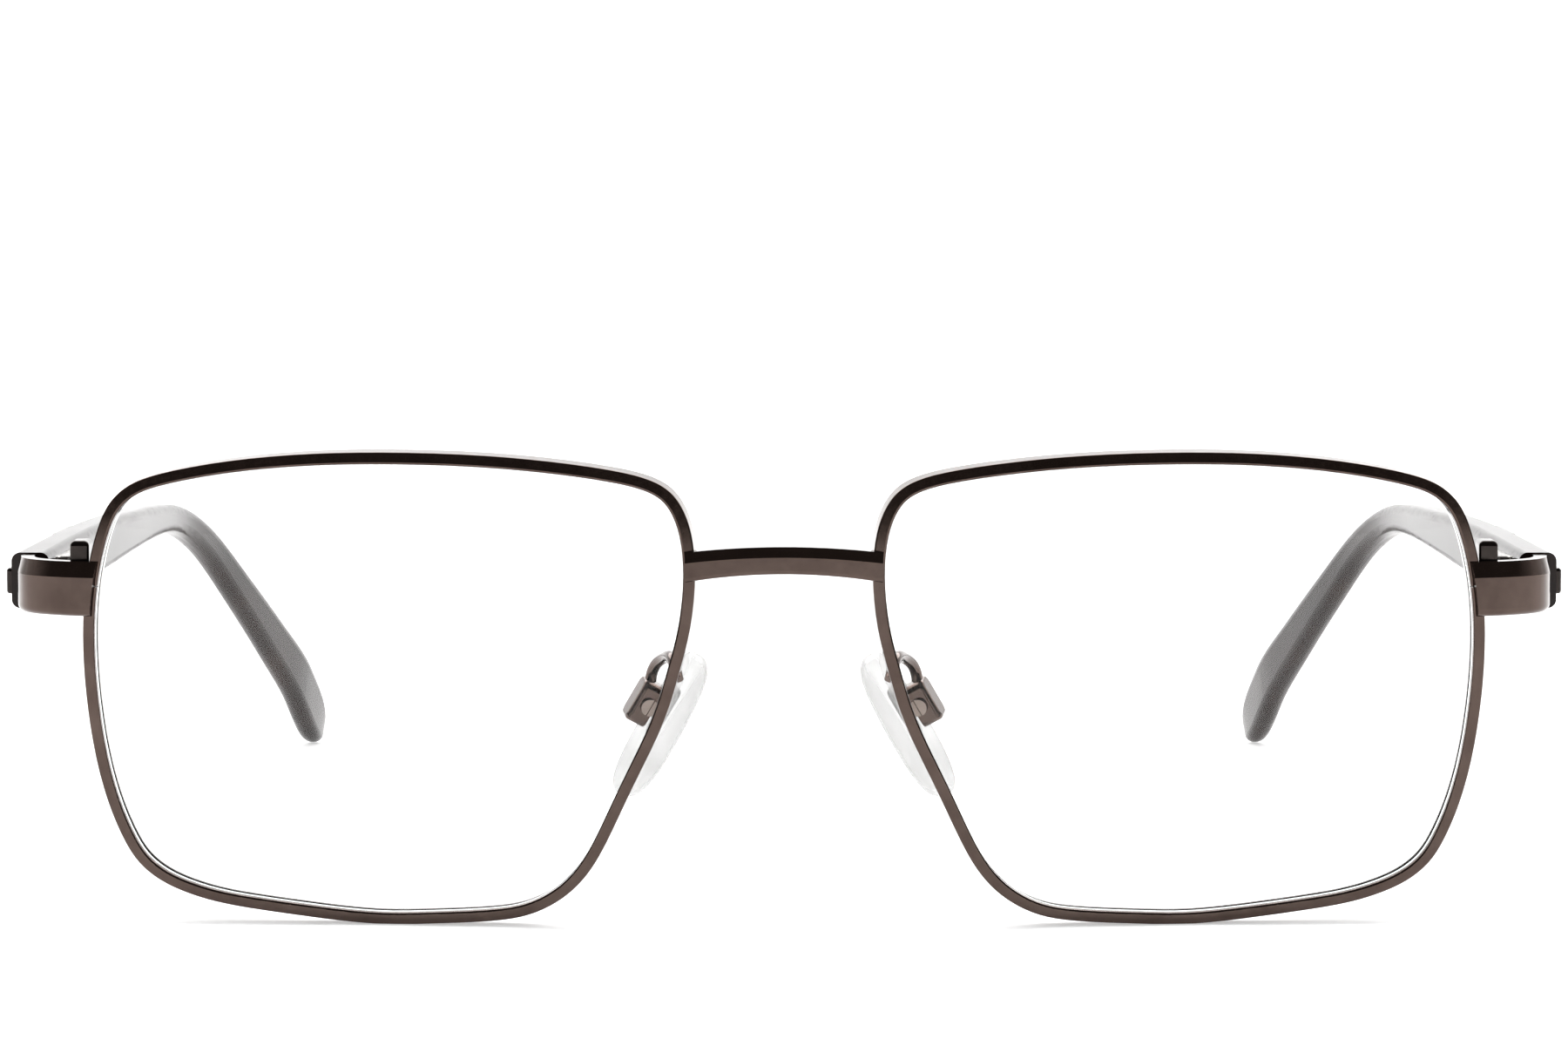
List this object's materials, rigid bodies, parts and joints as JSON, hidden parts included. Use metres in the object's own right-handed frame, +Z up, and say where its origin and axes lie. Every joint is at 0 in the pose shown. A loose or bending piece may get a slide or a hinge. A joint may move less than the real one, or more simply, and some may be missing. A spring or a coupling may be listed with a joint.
{
  "type": "eyeglasses",
  "caption": "Rectangular full-rim eyeglasses: metal front with clear lenses and nose pads, sprung hinges and slim acetate temples with bent tips.",
  "frame": {"origin": "the middle of the bounding box at the table, under the open eyeglasses", "axes": "+Z up, the lenses face -Y, the open temples run back along +Y, +X is the wearer's left"},
  "size_m": [0.145, 0.1502, 0.0438],
  "materials": {
    "frame": "gloss",
    "steel": "polished",
    "temple": "gloss",
    "trim": "gloss",
    "lens": "clear",
    "pad": "clear silicone"
  },
  "bodies": {
    "front": {"rim_right": "frame", "rim_left": "frame", "lens_right": "lens", "lens_left": "lens", "bridge": "frame", "end_piece_right": "frame", "end_piece_left": "frame", "rim_lock_upper_right": "frame", "rim_lock_upper_left": "frame", "rim_lock_lower_right": "frame", "rim_lock_lower_left": "frame", "rim_lock_screws": "steel", "hinge_leaf_right": "steel", "hinge_leaf_left": "steel", "pad_arm_right": "frame", "pad_arm_left": "frame", "pad_box_right": "frame", "pad_box_left": "frame", "pad_screws": "steel"},
    "pin_right": {"hinge_screw_right": "steel"},
    "slider_right": {"hinge_slider_right": "steel", "slider_nut_right": "steel"},
    "arm_right": {"temple_right": "temple", "temple_trim_right": "trim", "core_wire_right": "steel", "hinge_housing_right": "steel", "hinge_spring_right": "steel"},
    "pad_right": {"nose_pad_right": "pad", "pad_insert_right": "steel"},
    "pin_left": {"hinge_screw_left": "steel"},
    "slider_left": {"hinge_slider_left": "steel", "slider_nut_left": "steel"},
    "arm_left": {"temple_left": "temple", "temple_trim_left": "trim", "core_wire_left": "steel", "hinge_housing_left": "steel", "hinge_spring_left": "steel"},
    "pad_left": {"nose_pad_left": "pad", "pad_insert_left": "steel"}
  },
  "joints": [
    {"name": "temple_fold_right", "type": "hinge", "parent": "front", "child": "pin_right", "pos_m": [-0.0669, -0.0599, 0.0308], "axis": [0, 0, -1], "range_deg": [0, 85]},
    {"name": "temple_flex_right", "type": "hinge", "parent": "pin_right", "child": "slider_right", "pos_m": [-0.0669, -0.0599, 0.0308], "axis": [0, 0, -1], "range_deg": [-12, 0], "stiffness_Nm_per_rad": 0.5},
    {"name": "hinge_draw_right", "type": "slide", "parent": "slider_right", "child": "arm_right", "axis": [0, 1, 0], "range_m": [0, 0.0012]},
    {"name": "pad_rock_right", "type": "hinge", "parent": "front", "child": "pad_right", "pos_m": [-0.01275, -0.0624, 0.0196], "axis": [-0.1799, 0.9685, 0.1721], "range_deg": [-12, 12]},
    {"name": "temple_fold_left", "type": "hinge", "parent": "front", "child": "pin_left", "pos_m": [0.0669, -0.0599, 0.0308], "axis": [0, 0, 1], "range_deg": [0, 75]},
    {"name": "temple_flex_left", "type": "hinge", "parent": "pin_left", "child": "slider_left", "pos_m": [0.0669, -0.0599, 0.0308], "axis": [0, 0, 1], "range_deg": [-12, 0], "stiffness_Nm_per_rad": 0.5},
    {"name": "hinge_draw_left", "type": "slide", "parent": "slider_left", "child": "arm_left", "axis": [0, 1, 0], "range_m": [0, 0.0012]},
    {"name": "pad_rock_left", "type": "hinge", "parent": "front", "child": "pad_left", "pos_m": [0.01275, -0.0624, 0.0196], "axis": [0.1799, 0.9685, 0.1721], "range_deg": [-12, 12]}
  ],
  "couplings": [
    {"joint": "hinge_draw_right", "follows": "temple_flex_right", "m_per_rad": -0.0053},
    {"joint": "hinge_draw_left", "follows": "temple_flex_left", "m_per_rad": -0.0053}
  ]
}
